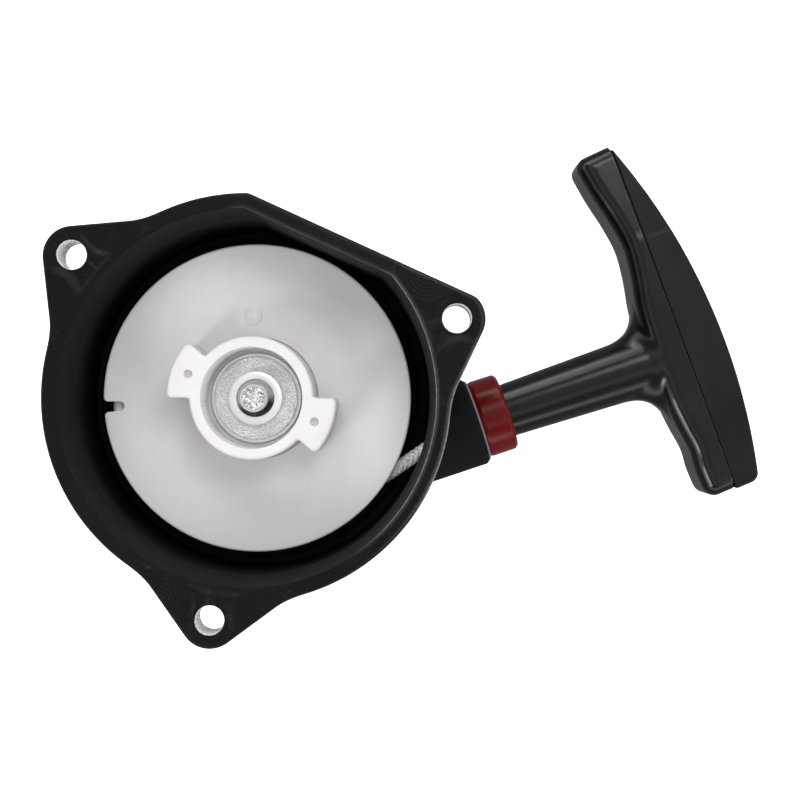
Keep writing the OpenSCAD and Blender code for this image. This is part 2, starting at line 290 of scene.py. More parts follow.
def surface_of(name, field, low, high, step):
    """The surface where field is 0 and negative inside, by surface nets, drawn onto the field.
    step is the grid's spacing along each axis. The field's slope gives the normals."""
    step = np.array(step, float)
    axes = [np.arange(low[i] - step[i], high[i] + 2 * step[i], step[i]) for i in range(3)]
    value = field(*np.meshgrid(*axes, indexing="ij", sparse=True))
    value = np.broadcast_to(value, [len(a) for a in axes])
    inside = value < 0
    shape = np.array(value.shape) - 1

    def part(a, o):
        return a[o[0]:o[0] + shape[0], o[1]:o[1] + shape[1], o[2]:o[2] + shape[2]]

    corners = list(product((0, 1), repeat=3))
    count = sum(part(inside, c).astype(np.int8) for c in corners)
    active = (count > 0) & (count < 8)
    index = np.full(shape, -1)
    index[active] = np.arange(active.sum())
    total = np.zeros((active.sum(), 3))
    crossings = np.zeros(active.sum())
    for a, b in product(corners, corners):
        if sum(abs(p - q) for p, q in zip(a, b)) != 1 or a > b:
            continue
        va, vb = part(value, a)[active], part(value, b)[active]
        crossed = (va < 0) != (vb < 0)
        t = np.where(crossed, va / np.where(crossed, va - vb, 1), 0)
        total += crossed[:, None] * (np.array(a) + t[:, None] * (np.array(b) - np.array(a)))
        crossings += crossed
    base = np.stack([a[s] for a, s in zip(axes, np.nonzero(active))], axis=1)
    points = base + step * total / crossings[:, None]
    faces = []
    for axis in range(3):
        o1, o2 = [i for i in range(3) if i != axis]
        near, far = [slice(None)] * 3, [slice(None)] * 3
        near[axis], far[axis] = slice(0, shape[axis]), slice(1, shape[axis] + 1)
        first, second = inside[tuple(near)], inside[tuple(far)]
        at = np.nonzero(first != second)
        keep = (at[o1] > 0) & (at[o1] < shape[o1]) & (at[o2] > 0) & (at[o2] < shape[o2])
        at = [a[keep] for a in at]
        leads = first[tuple(at)]
        quad = []
        for d1, d2 in ((0, 0), (1, 0), (1, 1), (0, 1)):
            cell = [a.copy() for a in at]
            cell[o1] -= d1
            cell[o2] -= d2
            quad.append(index[tuple(cell)])
        quad = np.stack(quad, axis=1)
        flip = leads if axis != 1 else ~leads
        quad[~flip] = quad[~flip][:, ::-1]
        faces.append(quad)

    def slope_at(p):
        across = 0.2 * step * np.eye(3)
        return np.stack([(field(*(p + d).T) - field(*(p - d).T)) / (2 * d.sum()) for d in across], axis=1)

    for _ in range(4):
        slope = slope_at(points)
        move = -field(*points.T)[:, None] * slope / np.maximum((slope ** 2).sum(1), 0.2)[:, None]
        points = points + np.clip(move, -0.4 * step, 0.4 * step)
    obj = outward(mesh_object(name, points, np.concatenate(faces)))
    slope = slope_at(points)
    obj.data.normals_split_custom_set_from_vertices(slope / np.linalg.norm(slope, axis=1)[:, None])
    return obj


# --- material helpers

class Look:
    """A procedural material on one Principled shader. Sizes are in millimetres."""

    def __init__(self, name, **values):
        self.material = bpy.data.materials.new(name)
        self.material.use_nodes = True
        self.tree = self.material.node_tree
        self.shader = self.tree.nodes["Principled BSDF"]
        for key, value in values.items():
            self.shader.inputs[key.replace("_", " ")].default_value = value
        self.place = self.tree.nodes.new("ShaderNodeTexCoord").outputs["Object"]

    def link(self, value, socket):
        if isinstance(value, bpy.types.NodeSocket):
            self.tree.links.new(value, socket)
        else:
            socket.default_value = value

    def node(self, kind, **values):
        """A new node. values are links or numbers for its inputs, by name."""
        made = self.tree.nodes.new("ShaderNode" + kind)
        for key, value in values.items():
            self.link(value, made.inputs[key.replace("_", " ")])
        return made

    def math(self, operation, a, b=0.0, clamp=False):
        node = self.node("Math")
        node.operation = operation
        node.use_clamp = clamp
        self.link(a, node.inputs[0])
        self.link(b, node.inputs[1])
        return node.outputs[0]

    def times(self, a, b, clamp=False):
        return self.math("MULTIPLY", a, b, clamp)

    def moved(self, offset):
        """x, y and z measured from offset."""
        shift = self.node("VectorMath")
        shift.operation = "SUBTRACT"
        self.link(self.place, shift.inputs[0])
        shift.inputs[1].default_value = [o * MM for o in offset]
        return self.node("SeparateXYZ", Vector=shift.outputs[0]).outputs

    def polar(self, offset=(0, 0, 0)):
        """(angle, radius, height) about an axis along +Z, with the angle in radians."""
        x, y, z = self.moved(offset)
        squares = self.math("ADD", self.times(x, x), self.times(y, y))
        return self.math("ARCTAN2", y, x), self.math("SQRT", squares), z

    def vector(self, x, y, z):
        return self.node("CombineXYZ", X=x, Y=y, Z=z).outputs[0]

    def noise(self, size, detail=4.0, roughness=0.55, source=None, distortion=0.0):
        return self.node("TexNoise", Vector=source or self.place, Scale=1 / (size * MM), Detail=detail,
                         Roughness=roughness, Distortion=distortion).outputs["Fac"]

    def cells(self, size):
        return self.node("TexVoronoi", Vector=self.place, Scale=1 / (size * MM)).outputs["Distance"]

    def attribute(self, name):
        node = self.node("Attribute")
        node.attribute_name = name
        return node.outputs["Fac"]

    def band(self, value, low, high, out_low=0.0, out_high=1.0):
        """A value mapped from one range to another, held at its ends."""
        return self.node("MapRange", Value=value, From_Min=low, From_Max=high, To_Min=out_low,
                         To_Max=out_high).outputs["Result"]

    def colours(self, value, *stops):
        node = self.node("ValToRGB", Fac=value)
        ramp = node.color_ramp
        while len(ramp.elements) < len(stops):
            ramp.elements.new(0.5)
        for element, (at, colour) in zip(ramp.elements, stops):
            element.position = at
            element.color = (*colour, 1)
        return node.outputs["Color"]

    def mix(self, share, a, b):
        node = self.node("Mix")
        node.data_type = "RGBA"
        self.link(share, node.inputs["Factor"])
        for key, value in (("A", a), ("B", b)):
            socket = next(s for s in node.inputs if s.name == key and s.type == "RGBA")
            self.link(value if isinstance(value, bpy.types.NodeSocket) else (*value, 1), socket)
        return next(s for s in node.outputs if s.type == "RGBA")

    def bump(self, height, distance):
        """Adds a relief. distance is what a height of 1 stands for, in millimetres."""
        node = self.node("Bump", Strength=1.0, Distance=distance * MM, Height=height)
        normal = self.shader.inputs["Normal"]
        if normal.is_linked:
            self.link(normal.links[0].from_socket, node.inputs["Normal"])
        self.link(node.outputs[0], normal)

    def set(self, key, value):
        self.link(value, self.shader.inputs[key])


def grey(value, tint=0.0):
    """A near grey, a little blue for a positive tint."""
    return (value * (1 - tint), value * (1 - tint / 2), value)


def housing_look():
    """Black glass-filled nylon: milled on the flange's top, matt on its walls, polished at its edges. The edges'
    lighter grey, mostly on one side, is partly wear and partly painted highlight; the boss's end has a painted
    highlight line and the bolt holes' walls painted light.
    """
    look = Look("housing_nylon", Specular_IOR_Level=0.13)
    cloud = look.noise(9, 5, 0.6)
    grain = look.noise(0.4, 5, 0.75)
    milled = look.attribute("milled")
    wear_and_highlight = look.attribute("wear_and_highlight")
    angle, radius, height = look.polar()
    swirl = look.vector(look.times(angle, 0.012), radius, height)
    flow = look.noise(0.5, 4, 0.65, swirl)
    # Worn edges get a lighter grey: partly real wear, partly a painted highlight for thin edge highlights.
    scuff_and_highlight = look.times(wear_and_highlight, look.band(look.noise(0.9, 5, 0.7), 0.25, 0.65, 0.3, 1.0), True)
    specks = look.times(milled, look.band(grain, 0.56, 0.76), True)
    black = look.colours(cloud, (0.3, grey(0.0012, 0.15)), (0.7, grey(0.003, 0.12)))
    milled_black = look.mix(look.times(specks, 0.4), black, (0.06, 0.06, 0.064))
    colour = look.mix(scuff_and_highlight, milled_black, (0.25, 0.25, 0.26))
    x = look.times(radius, look.math("COSINE", angle))
    # Painted highlight: a thin lighter grey line round the boss's end.
    boss_end = look.band(x, (BOSS_X - 0.5) * MM, (BOSS_X - 0.4) * MM)
    boss_end_highlight = look.times(boss_end, look.band(height, -(EAR_T + 1.5) * MM, -(EAR_T + 1) * MM, 0.8, 0.0))
    colour = look.mix(boss_end_highlight, colour, (0.16, 0.16, 0.17))
    # Painted light: a pale, patchy grey on the bolt holes' walls stands in for their lit walls.
    for hole in BOLT_PLACES:
        _, off_hole, _ = look.polar(hole)
        bore = look.band(off_hole, (HOLE_R + 0.06) * MM, (HOLE_R + 0.12) * MM, 1.0, 0.0)
        lit_bore_wall = look.times(bore, look.band(grain, 0.35, 0.55))
        colour = look.mix(lit_bore_wall, colour, (0.8, 0.8, 0.81))
    look.set("Base Color", colour)
    rough = look.math("SUBTRACT", look.band(cloud, 0.3, 0.7, 0.6, 0.7), look.times(milled, 0.28))
    look.set("Roughness", look.math("SUBTRACT", rough, look.times(wear_and_highlight, 0.25)))
    look.bump(look.times(grain, milled), 0.06)
    look.bump(look.times(flow, milled), 0.06)
    look.bump(look.noise(0.5, 3, 0.6), 0.015)
    return look.material


def plastic_look(name, cloud, colours, patches, rough, relief, **values):
    """Moulded plastic with a cloudy colour, patchy gloss and a relief.
    cloud, patches and the end of each relief are a noise's size, detail and roughness. Each relief
    starts with its depth in millimetres."""
    look = Look(name, **values)
    look.set("Base Color", look.colours(look.noise(*cloud), *colours))
    look.set("Roughness", look.band(look.noise(*patches), 0.3, 0.7, *rough))
    for depth, *shape in relief:
        look.bump(look.noise(*shape), depth)
    return look.material


def reel_look():
    """Milky natural nylon: cloudy, a little see-through at its edges."""
    look = Look("reel_nylon", Subsurface_Weight=0.25, Subsurface_Scale=0.002, Subsurface_Radius=(1.0, 0.95, 0.9))
    cloud = look.noise(16, 5, 0.6, distortion=0.8)
    wisps = look.noise(5, 4, 0.6, distortion=1.5)
    milk = look.math("ADD", look.times(cloud, 0.7), look.times(wisps, 0.3))
    look.set("Base Color", look.colours(milk, (0.3, (0.78, 0.755, 0.765)), (0.5, (0.81, 0.785, 0.795)),
                                        (0.7, (0.84, 0.815, 0.825))))
    look.set("Roughness", look.band(wisps, 0.3, 0.7, 0.36, 0.5))
    look.bump(cloud, 0.03)
    look.bump(look.noise(0.4, 3, 0.6), 0.012)
    return look.material


def steel_look(name, colour, low, high, grain=0.0, grain_size=0.4, brushed=0.0):
    """Plated steel. grain is the depth of its pits in millimetres, brushed that of its turned rings."""
    look = Look(name, Metallic=1.0)
    cloud = look.noise(2.5, 4, 0.6)
    look.set("Base Color", look.colours(cloud, (0.3, tuple(0.86 * c for c in colour)), (0.7, colour)))
    look.set("Roughness", look.band(look.noise(0.8, 5, 0.7), 0.3, 0.7, low, high))
    if grain:
        look.bump(look.cells(grain_size), grain)
        look.bump(look.noise(grain_size * 0.6, 4, 0.7), grain * 0.6)
    if brushed:
        _, radius, height = look.polar()
        look.bump(look.noise(0.12, 2, 0.5, look.vector(0.0, radius, height)), brushed)
    return look.material


def screw_look():
    """Zinc: frosted on the flange, a darker grey in the recess round the head with painted shade on one side of it,
    polished in the socket.
    """
    look = Look("screw_zinc", Metallic=1.0)
    angle, radius, _ = look.polar()
    # Painted shade: a dark mottled crescent on one side of the recess round the head, which is a plain darker grey
    # elsewhere.
    shade_noise = look.noise(0.8, 4, 0.7)
    shaded_side = look.band(look.math("COSINE", look.math("ADD", angle, radians(96))), 0.0, 0.5)
    flange = look.band(radius, 4.35 * MM, 4.6 * MM)
    recess = look.times(look.band(radius, 3.42 * MM, 3.5 * MM), look.band(radius, 4.35 * MM, 4.6 * MM, 1.0, 0.0))
    bare = look.colours(flange, (0.0, (0.8, 0.8, 0.81)), (1.0, (0.93, 0.93, 0.93)))
    mottle_tone = look.colours(shade_noise, (0.35, grey(0.02)), (0.65, grey(0.12)))
    look.set("Base Color", look.mix(recess, bare, look.mix(shaded_side, (0.6, 0.6, 0.61), mottle_tone)))
    look.set("Roughness", look.band(flange, 0.0, 1.0, 0.12, 0.42))
    look.bump(look.noise(0.5, 4, 0.6), 0.01)
    return look.material


def rope_look(name, relief=False):
    """White rope with dark flecks. relief adds a braid's relief along the outlet's axis."""
    look = Look(name, Roughness=0.75, Sheen_Weight=0.3)
    flecks = look.band(look.cells(1.1), 0.12, 0.3)
    mottle_tone = look.noise(1.6, 5, 0.7)
    white = look.colours(mottle_tone, (0.3, (0.6, 0.6, 0.59)), (0.65, (0.86, 0.86, 0.85)))
    look.set("Base Color", look.mix(flecks, (0.3, 0.3, 0.31), white))
    if relief:
        x, y, z = look.moved((0, OUTLET_Y, OUTLET_Z))
        along = look.times(x, 2 * pi / (BRAID_PITCH * MM))
        round_it = look.times(look.math("ARCTAN2", z, y), BRAID_STRANDS)
        left = look.math("SINE", look.math("ADD", round_it, along))
        right = look.math("SINE", look.math("SUBTRACT", round_it, along))
        look.bump(look.math("MAXIMUM", left, right), 0.18)
    look.bump(look.noise(0.15, 3, 0.7), 0.05)
    return look.material


LOOKS = {
    "housing": housing_look(),
    # glossy black with faint flow lines
    "grip": plastic_look(
        "grip_plastic", (14, 4, 0.5), ((0.3, grey(0.0025, 0.2)), (0.72, grey(0.005, 0.15))), (3, 5, 0.7),
        (0.17, 0.24), ((0.12, 14, 4, 0.5), (0.008, 0.5, 3, 0.6)), Specular_IOR_Level=0.32),
    # the same black, with a finer satin skin
    "cap": plastic_look(
        "cap_plastic", (11, 4, 0.55), ((0.3, grey(0.004, 0.08)), (0.7, grey(0.009, 0.06))), (4, 5, 0.7),
        (0.34, 0.46), ((0.015, 0.3, 3, 0.6), (0.1, 11, 4, 0.55)), Specular_IOR_Level=0.16),
    "reel": reel_look(),
    # opaque white with a waxy skin
    "cam": plastic_look(
        "cam_acetal", (6, 4, 0.5), ((0.3, (0.67, 0.655, 0.65)), (0.7, (0.71, 0.695, 0.69))), (2, 4, 0.6),
        (0.32, 0.44), ((0.012, 0.35, 3, 0.6),), Subsurface_Weight=0.15, Subsurface_Scale=0.001),
    # dark red, a little cloudy
    "red": plastic_look(
        "red_plastic", (5, 4, 0.6), ((0.3, (0.078, 0.001, 0.0015)), (0.7, (0.105, 0.002, 0.003))), (1.5, 4, 0.6),
        (0.18, 0.28), ((0.008, 0.5, 3, 0.5),), Specular_IOR_Level=0.2),
    "rope": rope_look("rope_braid"),
    "rope_line": rope_look("rope_line_braid", True),
    "screw": screw_look(),
    "grained": steel_look("grained_zinc", (0.92, 0.93, 0.93), 0.38, 0.6, 0.24, 0.42),
    "smooth": steel_look("smooth_zinc", (0.85, 0.86, 0.87), 0.3, 0.45, brushed=0.01),
    "sheet": steel_look("sheet_zinc", (0.66, 0.67, 0.68), 0.28, 0.45, 0.01, 1.2),
    "spring": steel_look("blued_steel", (0.2, 0.22, 0.28), 0.25, 0.42, brushed=0.01),
    "brass": steel_look("turned_brass", (0.8, 0.6, 0.28), 0.22, 0.4, brushed=0.015),
    "dark": steel_look("dark_steel", (0.1, 0.1, 0.105), 0.3, 0.5, 0.01, 0.6),
}


# --- the bowl

def ear_reach(theta):
    """Distance from the axis to the edge of an ear's outline, 0 away from the ears."""
    reach = np.zeros_like(theta)
    side = radians(EAR_SIDE)
    line = EAR_RING * cos(side) + EAR_R
    shoulder = atan2(EAR_R * sin(side), EAR_RING + EAR_R * cos(side))
    for direction in EAR_DIRS:
        off = np.abs((theta - radians(direction) + pi) % (2 * pi) - pi)
        tip = EAR_RING * np.cos(off) + np.sqrt(np.maximum(EAR_R ** 2 - (EAR_RING * np.sin(off)) ** 2, 0))
        slope = line / np.cos(np.clip(off, 0, side) - side)
        reach = np.maximum(reach, np.where(off < shoulder, tip, np.where(off < side, slope, 0)))
    return reach


def flattened(theta, radius, distance=FLAT_IN, fillet=0.25):
    """An outline of the given radius cut by the flat. The defaults are those of the inner wall."""
    along = np.cos(theta - radians(FLAT_DIR))
    flat = np.where(along > 0.2, distance / np.maximum(along, 0.2), 1e3)
    return smooth_min(radius + 0 * theta, flat, fillet)


def ear_relief(x, y):
    """Height of the flange's top: rippled lobes beside each bolt hole and a sunk web between them."""
    height = np.zeros_like(x)
    radius = np.hypot(x, y)
    off_rim = smooth_step(MOUTH_R + 0.7, MOUTH_R + 2.3, radius)
    for direction in EAR_DIRS:
        turn = radians(direction)
        u = x * cos(turn) + y * sin(turn) - BOLT_RING
        v = np.abs(-x * sin(turn) + y * cos(turn))
        lobe = np.hypot(u + 2.5, v - 12) - 7
        near = smooth_step(20, 18, np.hypot(u, v))
        web = smooth_step(-0.3, 1.9, lobe) * smooth_step(3.4, -1.0, u) * near * off_rim
        strip = smooth_step(1.7, 0.9, v) * smooth_step(-3.2, -4.4, u)
        ripple = np.sin(lobe * 2 * pi / 0.9) * smooth_step(0, -0.8, lobe) * smooth_step(-7, -5, lobe)
        dish = smooth_step(5.4, 4.2, np.hypot(u, v))
        height += -0.8 * web + 0.25 * web * strip + 0.03 * ripple * off_rim - 0.08 * dish
    return height


def housing_piece():
    """The bowl as one closed skin of rings, from the middle of its back to the bottom of its post."""
    spread = [np.arange(0, 360, 0.8)]
    spread += [d + np.arange(-21, 21, 0.32) for d in EAR_DIRS]
    for reach, distance in ((RIM_R, FLAT_OUT), (MOUTH_R, FLAT_IN), (BOWL_R, FLAT_IN)):
        corner_off = degrees(acos(distance / reach))
        spread += [FLAT_DIR + side * corner_off + np.arange(-1.5, 1.6, 0.25) for side in (-1, 1)]
    theta = np.unique(np.round(np.concatenate(spread) % 360, 2))
    theta = np.radians(theta[np.append(np.diff(theta) > 0.12, True)])
    zero = 0 * theta
    rim = flattened(theta, smooth_max(ear_reach(theta), RIM_R + zero, 1.7), FLAT_OUT, 0.3)
    wall = flattened(theta, WALL_R, FLAT_OUT - 1.2, 0.3)
    rings, wear_and_highlight, milled = [], [], []

    bearing = (np.degrees(theta) + 180) % 360 - 180
    # The side whose edges are worn and carry painted highlights, chosen by bearing.
    rubbed_and_lit_side = smooth_step(-80, -50, bearing) * smooth_step(80, 70, bearing)
    rubbed_and_lit_side *= 0.35 + 0.65 * smooth_step(26, 18, bearing)
    # The outer edge towards the rope's exit, worn and carrying a painted highlight.
    rope_side_wear_and_highlight = 0.1 + 0.8 * smooth_step(-56, -44, bearing) * smooth_step(-2, -12, bearing)

    def ring(radius, height, worn_and_highlit=0.0, cut=0.0):
        rings.append(ring_at(theta, radius, height))
        wear_and_highlight.append(worn_and_highlit + zero)
        milled.append(cut + zero)

    def corner(radius, height, size, start, end, worn_and_highlit=0.0, steps=4):
        """A rounded corner, from the place of the sharp one and its first and last direction in degrees."""
        middle = radians((start + end) / 2)
        cr = radius - size * round(copysign(1, cos(middle)))
        cz = height - size * round(copysign(1, sin(middle)))
        for k in range(steps + 1):
            a = radians(start + (end - start) * k / steps)
            ring(cr + size * cos(a), cz + size * sin(a), worn_and_highlit * sin(pi * (k + 0.5) / (steps + 1)))

    # the back
    for radius, up in ((0, 0.8), (4.2, 0.8), (4.9, 0.3), (5.5, 0), (14, 0), (21.2, 0), (21.6, 0.35), (22.6, 0.35),
                       (23, 0)):
        ring(radius, BACK_Z + up)
    corner(BACK_R, BACK_Z, 1.0, 270, 360, 0.6)
    on_rib = np.abs(np.degrees(theta) % 30 - 15) < 1.5
    for radius, rib, plain in ((BACK_R, 3, 1.2), (BACK_R + 0.4, 3, 0.4), (BACK_R + 1.2, 2.8, 0), (36.6, 2.8, 0),
                               (37.6, 2.2, 0), (38, 0, 0), (40, 0, 0)):
        ring(radius, UNDER_Z - np.where(on_rib, rib, plain))
    # the outer wall
    corner(wall, UNDER_Z, 1.6, 270, 360, 0.3, 6)
    for z in (-28, -20, -13, -EAR_T - 1.2):
        ring(wall, z)
    ring(wall + 0.25, -EAR_T - 0.5)
    ring(np.minimum(wall + 0.9, rim - 0.3), -EAR_T)
    ring((wall + rim) / 2 + 0.3, -EAR_T)
    corner(rim, -EAR_T, 0.35, 270, 360, 0.5, 3)
    for z in (-5, -2):
        ring(rim, z)
    corner(rim, 0, 0.4, 0, 90, rope_side_wear_and_highlight)
    # the top face of the flange, with its relief
    mouth = flattened(theta, MOUTH_R)
    outer, inner = rim - 0.4, mouth + 0.2
    for share in np.linspace(0, 1, 40)[1:-1]:
        radius = outer + (inner - outer) * share
        x, y = radius * np.cos(theta), radius * np.sin(theta)
        edge = np.minimum(radius - inner, outer - radius)
        z = ear_relief(x, y) * smooth_step(0.0, 0.7, edge)
        ring(radius, z, 0.2 * rubbed_and_lit_side * smooth_step(0.9, 0.0, edge), 1.0)
    for out, z, share in ((0.2, 0, 0.2), (0.12, -0.02, 1), (0.03, -0.12, 0.7), (0, -0.26, 0.1)):
        ring(mouth + out, z, share * rubbed_and_lit_side)
    # the inner wall down to the floor
    for z in (-1.5, -4, -7):
        ring(flattened(theta, MOUTH_R + (STEP_R - MOUTH_R) * z / STEP_Z), z)
    for radius, z in ((STEP_R, STEP_Z + 0.4), (STEP_R - 0.06, STEP_Z), (BOWL_R + 0.08, STEP_Z - 0.9),
                      (BOWL_R, STEP_Z - 1.4), (BOWL_R, -13), (BOWL_R, -18), (BOWL_R, -23), (BOWL_R, -28)):
        ring(flattened(theta, radius), z)
    low = flattened(theta, BOWL_R)
    ring(low, FLOOR_Z + 1.0)
    ring(low - 0.3, FLOOR_Z + 0.3)
    ring(np.minimum(low - 0.6, 41.2), FLOOR_Z)
    # the low wall round the reel, open where the rope leaves
    turn = (np.degrees(theta) + 43 + 180) % 360 - 180
    standing = np.abs(turn) > 9
    top = np.where(standing, -27.0, FLOOR_Z)
    bevel = np.where(standing, -27.3, FLOOR_Z)
    fence = np.minimum(39.5, low - 0.75)
    for radius, z in ((fence, FLOOR_Z), (fence - 0.02, bevel), (fence - 0.3, top), (38.5, top), (38.22, bevel),
                      (38.2, FLOOR_Z)):
        ring(radius, z)
    # the seat of the spring cover, the spring chamber and the post
    for radius, z in ((31.4, FLOOR_Z), (31.4, FLOOR_Z - 0.8), (27.3, FLOOR_Z - 0.8), (27.3, -41.3),
                      (8.0, -41.3), (8.0, -40.5), (6.0, -40.5), (6.0, -21.0), (5.7, -20.6),
                      (4.3, -20.6), (4.0, -20.9), (4.0, -32.6), (0.0, -32.6)):
        ring(radius, z)
    obj, used = grid_object("bowl", rings)
    for name, values in (("wear_and_highlight", wear_and_highlight), ("milled", milled)):
        attribute = obj.data.attributes.new(name, "FLOAT", "POINT")
        attribute.data.foreach_set("value", np.asarray(np.concatenate(values)[used], np.float32))

    # the outlet boss, whose inner end lies in the bowl's wall
    def boss_ring(theta, x, radius):
        made = outlet_ring(theta, x, radius)
        if x < 1:
            made[:, 0] = np.sqrt(44.0 ** 2 - made[:, 1] ** 2)
        return made

    profile = rounded([(0, 0.0), (0, BOSS_R), (BOSS_X - 1.2, BOSS_R), (BOSS_X, BOSS_R - 1.05), (BOSS_X, 0.0)],
                      [0, 0, 0.4, 0.2, 0])
    boss = lathe("boss", profile, closed=False, ring=boss_ring)
    combine(obj, [boss], "UNION")

    end = BOSS_X + 0.3
    profile = [(30, 0), (30, 8.6), (42, 4.6), (42, 7.52), (BOSS_X - 0.25, 7.52), (end, 8.1), (end, 0)]
    cutters = [lathe("bore", profile, closed=False, ring=outlet_ring)]
    chamfer = 0.3
    for bolt in BOLT_PLACES:
        hole = lathe("hole", [(0, -EAR_T - 1), (HOLE_R + 1 + chamfer, -EAR_T - 1), (HOLE_R, -EAR_T + chamfer),
                              (HOLE_R, -chamfer), (HOLE_R + 1 + chamfer, 1), (0, 1)], 72, closed=False)
        hole.data.transform(Matrix.Translation([v * MM for v in bolt]))
        cutters.append(hole)
    combine(obj, cutters, "DIFFERENCE")
    crisp(obj, 38)
    place(obj, "housing", "housing", "housing_nylon", "housing")


# --- reel, cam and fastening

def reel_piece():
    """The reel as one closed skin, with its notch, its ejector mark and the ribs under it."""
    notch, notch_half, notch_in, flare = radians(164.9), 1.25, 33.0, 1.0
    theta = np.unique(np.concatenate([angles(720), notch + np.linspace(-0.09, 0.09, 61)]))
    across = np.abs((theta - notch + pi) % (2 * pi) - pi) * (REEL_R - 2)
    end = notch_in + notch_half - np.sqrt(np.maximum(notch_half ** 2 - across ** 2, 0))
    mouth = REEL_R - flare + np.sqrt(np.maximum(flare ** 2 - (notch_half + flare - across) ** 2, 0))
    edge = np.where(across < notch_half, end, np.where(across < notch_half + flare, mouth, REEL_R))
    rings = []

    def ring(radius, height):
        rings.append(ring_at(theta, radius, height))

    def round_edge(over, under):
        for a in (90, 60, 30, 0, -30, -60, -90):
            middle = (over + under) / 2 + (0.3 if a >= 0 else -0.3)
            ring(edge - 0.45 + 0.45 * cos(radians(a)), middle + 0.45 * sin(radians(a)))

    def ejector_mark(radius):
        x, y = radius * np.cos(theta), radius * np.sin(theta)
        a = radians(76)
        off = np.hypot(x - 20.5 * cos(a), y - 20.5 * sin(a))
        return -0.28 * smooth_step(3.1, 2.3, off) + 0.2 * smooth_step(1.5, 0.9, off)

    top, under = REEL_TOP, REEL_TOP - 1.5
    low_top, low_under = -30.2, reel_low[2] + 8.5
    for radius, z in ((6.08, -22.9), (6.3, -22.7), (8.2, -22.7), (8.4, -22.9), (8.4, -29.5), (14.95, -29.5),
                      (14.95, top - 0.15), (15.0, top - 0.04), (15.1, top)):
        ring(radius, z)
    for radius in np.concatenate([[15.3, 16.0, 16.8], np.linspace(17.2, 23.8, 34), [26.0, 29.0, 31.5]]):
        ring(radius, top + ejector_mark(radius))
    start = np.minimum(32.0, edge - 0.9)
    for share in np.linspace(0, 1, 8):
        ring(start + (edge - 0.7 - start) * share, top)
    round_edge(top, under)
    shelf = np.minimum(edge - 0.5, 32.9)
    for radius, z in ((shelf, under), (28.9, under), (28.5, under - 0.4), (28.5, low_top + 0.4), (28.9, low_top),
                      (shelf, low_top)):
        ring(radius, z)
    round_edge(low_top, low_under)
    rib = np.abs((np.degrees(theta) + 30) % 60 - 30) * radians(1) * 21 < 0.8
    ceiling = np.where(rib, low_under + 0.6, under)
    for radius, z in ((26.5, low_under), (26.3, low_under + 0.2), (26.3, ceiling), (21.0, ceiling), (16.55, ceiling),
                      (16.55, low_under), (15.6, low_under), (15.6, -31.0), (8.4, -31.0), (8.4, -40.0), (8.2, -40.2),
                      (6.3, -40.2), (6.08, -40.0)):
        ring(radius, z)
    obj, _ = grid_object("rope_reel", rings, closed=True)
    outward(obj)
    crisp(obj, 40)
    place(obj, "reel", "reel", "reel_nylon", "reel")


def cam_piece():
    """The cam: a ring with a floor, two rounded ears and two gate holes."""
    well, ring_r, dog_r = 12.1, 14.7, 20.2
    floor_top, floor_under = -20.9, cam_low[2]
    dog_under = -21.2
    top = cam_high[2]
    ear_span = 41.5
    middle = [radians(d) for d in (120 + ear_span / 2, 300 + ear_span / 2)]
    half = radians(ear_span / 2)

    def field(x, y, z):
        r = np.hypot(x, y)
        shell = np.where(r < well, well - r, r - ring_r)
        dogs = np.full_like(x, 1e3)
        holes = np.full_like(x, 1e3)
        for m in middle:
            u = x * cos(m) + y * sin(m)
            v = np.abs(-x * sin(m) + y * cos(m))
            side = v * cos(half) - u * sin(half)
            dog = smooth_max(smooth_max(r - dog_r, side, 1.6), well + 1.2 - r, 0.1)
            dogs = np.minimum(dogs, dog)
            holes = np.minimum(holes, np.hypot(u - 16, v) - 1.0)
        dogs = smooth_max(dogs, dog_under - z, 0.5)
        ring = smooth_max(shell, floor_under - z, 0.5)
        body = smooth_min(ring, dogs, 1.0)
        floor = np.maximum(np.maximum(r - ring_r, 6.08 - r), np.maximum(z - floor_top, floor_under - z))
        body = smooth_max(body, z - top, 0.9)
        body = smooth_min(body, floor, 0.6)
        holes = np.maximum(holes, top - 1.2 - z)
        return smooth_max(body, -holes, 0.35)

    obj = surface_of("drive_cam", field, cam_low, cam_high, (0.24, 0.24, 0.24))
    place(obj, "cam", "cam", "cam_acetal", "cam_plate")


def washer_pieces():
    """The smooth thrust washer, and the one with a gritty face over it."""
    low, top = thrust_low[2], thrust_high[2]
    outline = rounded([(3.05, low), (THRUST_R, low), (THRUST_R, top), (3.05, top)], [0.2] * 4, closed=True)
    smooth = lathe("lower_washer", outline, 144)
    crisp(smooth)
    place(smooth, "housing", "smooth", "smooth_steel", "thrust_washer")

    theta = angles(480)
    low, top = washer_low[2], washer_high[2]
    outline = ((3.05, low), (WASHER_R - 0.2, low), (WASHER_R, low + 0.2), (WASHER_R, top - 0.22),
               (WASHER_R - 0.15, top - 0.06))
    rings = [ring_at(theta, radius, z) for radius, z in outline]
    grit = np.random.default_rng(7)
    for radius in np.linspace(WASHER_R - 0.35, 6.3, 20):
        rings.append(ring_at(theta, radius, top - 0.07 * grit.random(len(theta)) * smooth_step(6.3, 6.8, radius)))
    rings.append(ring_at(theta, 3.05, top))
    serrated, _ = grid_object("upper_washer", rings, closed=True)
    outward(serrated)
    crisp(serrated, 60)
    place(serrated, "housing", "grained", "grained_steel", "retaining_washer")


